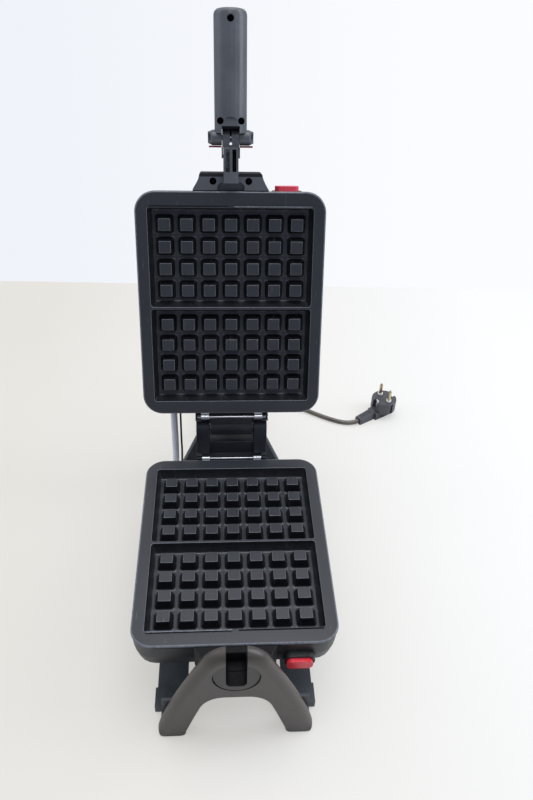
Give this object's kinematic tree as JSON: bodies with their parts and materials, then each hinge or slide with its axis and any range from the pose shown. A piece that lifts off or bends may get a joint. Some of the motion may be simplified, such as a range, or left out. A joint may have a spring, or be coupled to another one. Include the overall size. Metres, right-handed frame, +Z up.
{
  "type": "rotating waffle maker",
  "caption": "Rotating waffle maker with a hinged lid, studded plates that lift out, a fold-back handle and a stand with an arch in front.",
  "frame": {"origin": "middle of the footprint of the machine without its cord, on the table", "axes": "+X to the right seen from the handle's side, +Y from the front arch towards the tower, +Z up; the cooking unit spins about a line along Y, 103.5 mm over the table"},
  "size_m": [0.3385, 0.5049, 0.5464],
  "materials": {
    "shell_plastic": "satin moulded, near black",
    "stand_plastic": "satin moulded, near black",
    "arch_plastic": "satin moulded, warm dark grey",
    "bracket_plastic": "satin moulded, dark grey",
    "grip_plastic": "satin moulded, dark grey",
    "button_plastic": "half gloss moulded, red",
    "plate_coating": "cast, with a dark blue-grey non-stick coating",
    "rod_steel": "bright drawn wire and pins",
    "screw_steel": "zinc plated",
    "conduit_steel": "bright corrugated tube",
    "wire_cover": "extruded, black",
    "heater_steel": "oxidised sheath",
    "reflector_aluminium": "bright pressed sheet",
    "nylon": "natural moulded",
    "foot_rubber": "matt",
    "cord_rubber": "matt black",
    "pin_brass": "nickel washed",
    "sleeve_plastic": "white",
    "clip_steel": "sprung strip"
  },
  "bodies": {
    "stand": {"base_frame": "stand_plastic", "rear_tower": "stand_plastic", "tower_cover": "stand_plastic", "front_arch": "arch_plastic", "axle_bush": "nylon", "foot_front_left": "foot_rubber", "foot_front_right": "foot_rubber", "foot_rear_left": "foot_rubber", "foot_rear_right": "foot_rubber", "arch_screw_left": "screw_steel", "arch_screw_right": "screw_steel", "cover_screw_left": "screw_steel", "cover_screw_right": "screw_steel", "terminal_block": "nylon", "strain_relief": "cord_rubber", "cord_lead_in": "cord_rubber", "cord_coil": "cord_rubber", "cord_lead_out": "cord_rubber", "plug_body": "cord_rubber", "plug_pin_left": "pin_brass", "plug_pin_right": "pin_brass", "plug_sleeve_left": "sleeve_plastic", "plug_sleeve_right": "sleeve_plastic", "earth_clip_left": "clip_steel", "earth_clip_right": "clip_steel"},
    "rotor": {"lower_shell": "shell_plastic", "lower_reflector": "reflector_aluminium", "lower_element": "heater_steel", "lower_plate": "plate_coating", "thermostat": "heater_steel", "hinge_fork": "shell_plastic", "hinge_pin": "rod_steel", "rear_axle": "shell_plastic", "axle_clip": "screw_steel", "lower_plate_rod": "rod_steel", "lower_bracket": "bracket_plastic", "front_journal": "arch_plastic", "conduit": "conduit_steel", "earth_wire": "wire_cover"},
    "lid": {"upper_shell": "shell_plastic", "upper_reflector": "reflector_aluminium", "upper_element": "heater_steel", "upper_plate": "plate_coating", "hinge_knuckle": "shell_plastic", "upper_plate_rod": "rod_steel", "upper_bracket": "bracket_plastic", "bracket_screw_left": "screw_steel", "bracket_screw_right": "screw_steel", "handle_stem": "grip_plastic"},
    "handle": {"fold_pin": "rod_steel", "grip_front": "grip_plastic", "grip_back": "grip_plastic", "grip_screw_top": "screw_steel", "grip_screw_left": "screw_steel", "grip_screw_right": "screw_steel"},
    "release": {"fold_release": "button_plastic"},
    "lower_release": {"lower_button": "button_plastic"},
    "upper_release": {"upper_button": "button_plastic"}
  },
  "joints": [
    {"name": "spin", "type": "hinge", "parent": "stand", "child": "rotor", "pos_m": [0, 0, 0.1035], "axis": [0, 1, 0], "range_deg": [-75, 75]},
    {"name": "lid_hinge", "type": "hinge", "parent": "rotor", "child": "lid", "pos_m": [0, 0.08546, 0.1309], "axis": [1, 0, 0], "range_deg": [0, 109.2], "deforming": ["conduit", "earth_wire"]},
    {"name": "handle_fold", "type": "hinge", "parent": "lid", "child": "handle", "pos_m": [0, 0.16326, 0.43763], "axis": [-1, 0, 0], "range_deg": [0, 90]},
    {"name": "release_slide", "type": "slide", "parent": "lid", "child": "release", "axis": [0, -0.3289, -0.9444], "range_m": [0, 0.002], "stiffness_N_per_m": 400, "springref_m": -0.002},
    {"name": "lower_button_press", "type": "slide", "parent": "rotor", "child": "lower_release", "axis": [0, 1, 0], "range_m": [0, 0.004], "stiffness_N_per_m": 500, "springref_m": -0.004},
    {"name": "upper_button_press", "type": "slide", "parent": "lid", "child": "upper_release", "axis": [0, -0.3289, -0.9444], "range_m": [0, 0.004], "stiffness_N_per_m": 500, "springref_m": -0.004}
  ]
}
